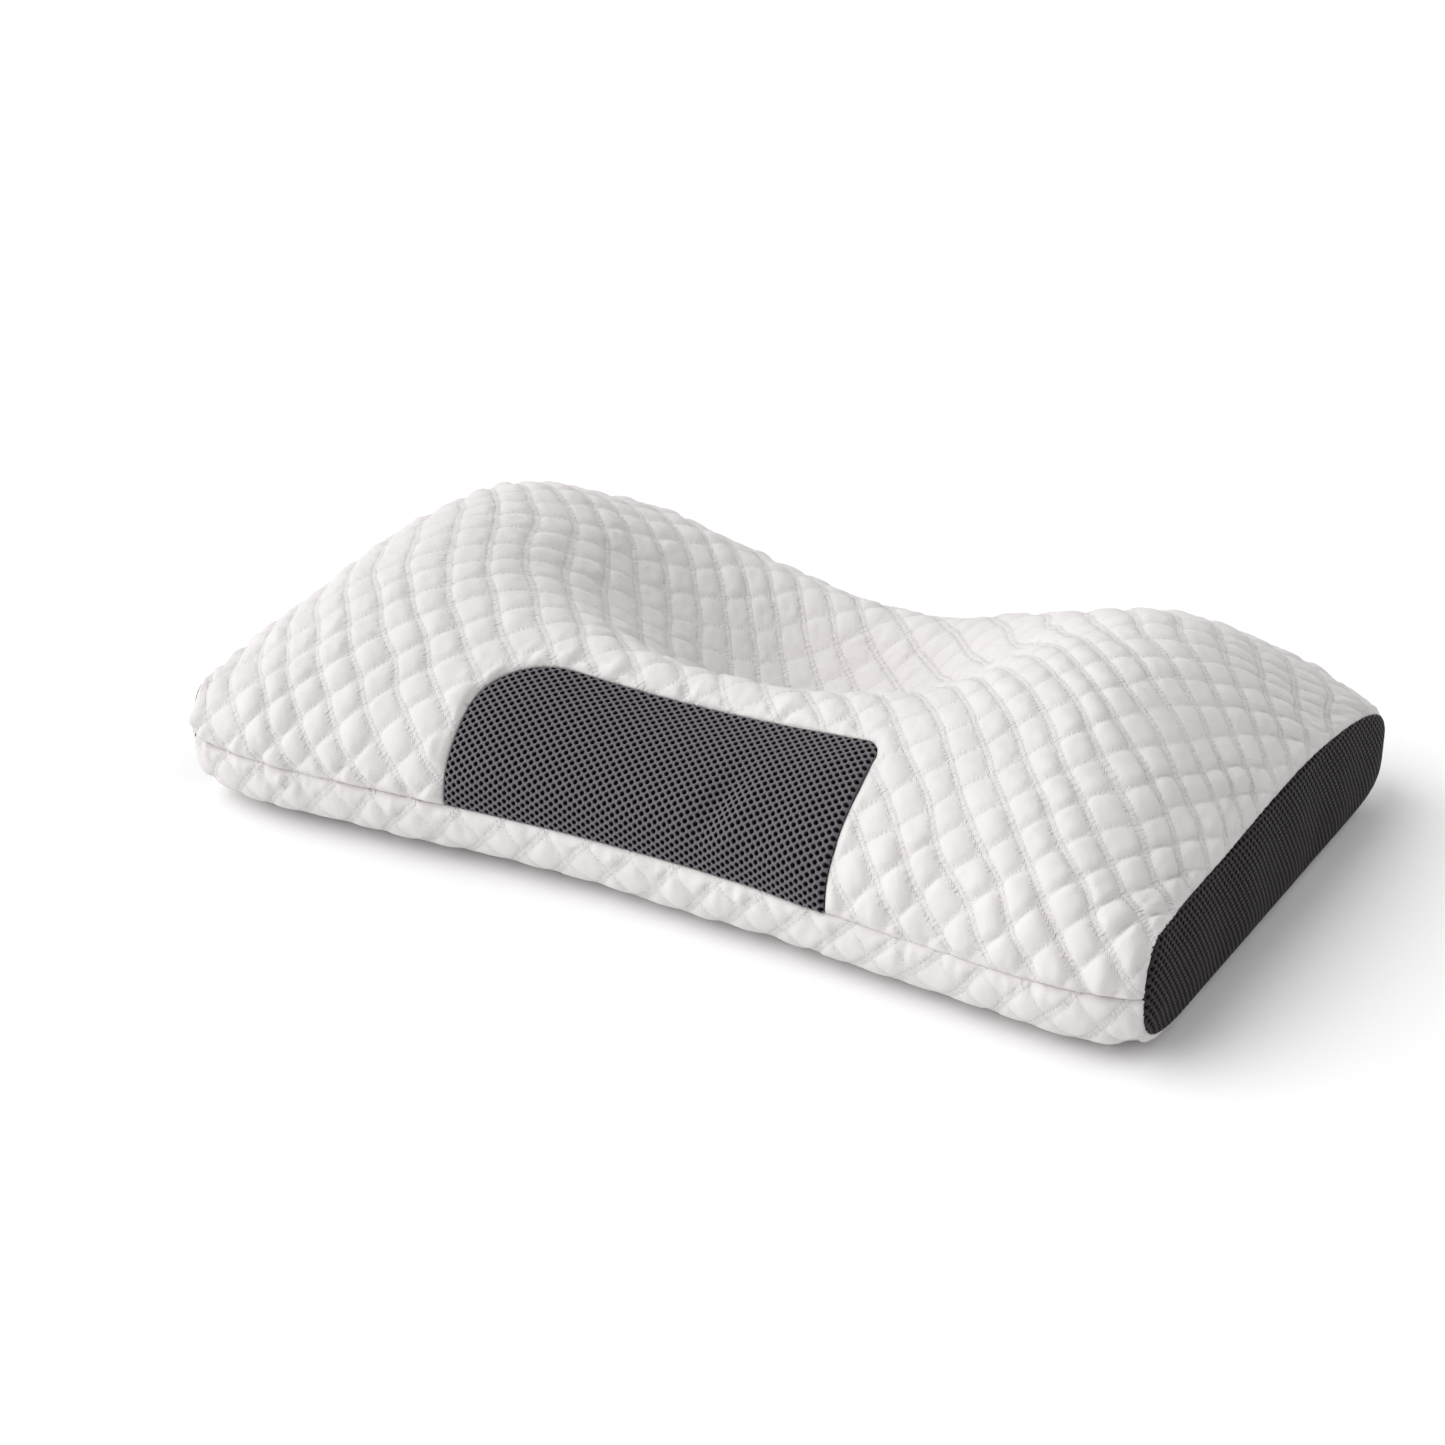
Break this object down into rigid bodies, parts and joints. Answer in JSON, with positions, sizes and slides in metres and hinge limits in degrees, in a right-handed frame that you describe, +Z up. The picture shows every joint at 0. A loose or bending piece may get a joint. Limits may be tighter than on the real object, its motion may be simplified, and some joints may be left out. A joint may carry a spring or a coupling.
{
  "type": "cervical traction pillow",
  "caption": "Contoured neck-traction pillow: quilted white cover, black mesh over the neck roll and the ends, head hollow, zip along the back edge.",
  "frame": {"origin": "on the surface it rests on, at the middle of the underside", "axes": "+Z up; +X along the long side; -Y towards the sleeper's neck, +Y towards the crown of the head"},
  "size_m": [0.66, 0.422, 0.1565],
  "materials": {
    "quilted_cover": "matte quilted knit",
    "black_mesh": "perforated spacer mesh",
    "case_cloth": "plain woven",
    "fibre_fill": "loose fibre",
    "zip_tape": "woven tape",
    "zip_coil": "satin nylon",
    "zip_metal": "nickel plated"
  },
  "bodies": {
    "pillow": {"top_cover_panel": "quilted_cover", "bottom_cover_panel": "quilted_cover", "neck_mesh_panel": "black_mesh", "left_mesh_gusset": "black_mesh", "right_mesh_gusset": "black_mesh", "inner_case_top": "case_cloth", "inner_case_bottom": "case_cloth", "left_baffle": "case_cloth", "right_baffle": "case_cloth", "neck_baffle": "case_cloth", "crown_baffle": "case_cloth", "left_side_fill": "fibre_fill", "right_side_fill": "fibre_fill", "neck_roll_fill": "fibre_fill", "head_hollow_fill": "fibre_fill", "crown_roll_fill": "fibre_fill", "zip_upper_tape": "zip_tape", "zip_lower_tape": "zip_tape", "zip_upper_coil": "zip_coil", "zip_lower_coil": "zip_coil", "zip_upper_top_stop": "zip_metal", "zip_lower_top_stop": "zip_metal", "zip_bottom_stop": "zip_metal"},
    "slider": {"zip_slider_body": "zip_metal"},
    "pull": {"zip_pull_tab": "zip_metal"}
  },
  "joints": [
    {"name": "zip_slide", "type": "slide", "parent": "pillow", "child": "slider", "axis": [1, 0, 0], "range_m": [-0.384, 0]},
    {"name": "pull_swing", "type": "hinge", "parent": "slider", "child": "pull", "pos_m": [0.204, 0.2129, 0.032], "axis": [0, 0, -1], "range_deg": [0, 175]}
  ]
}
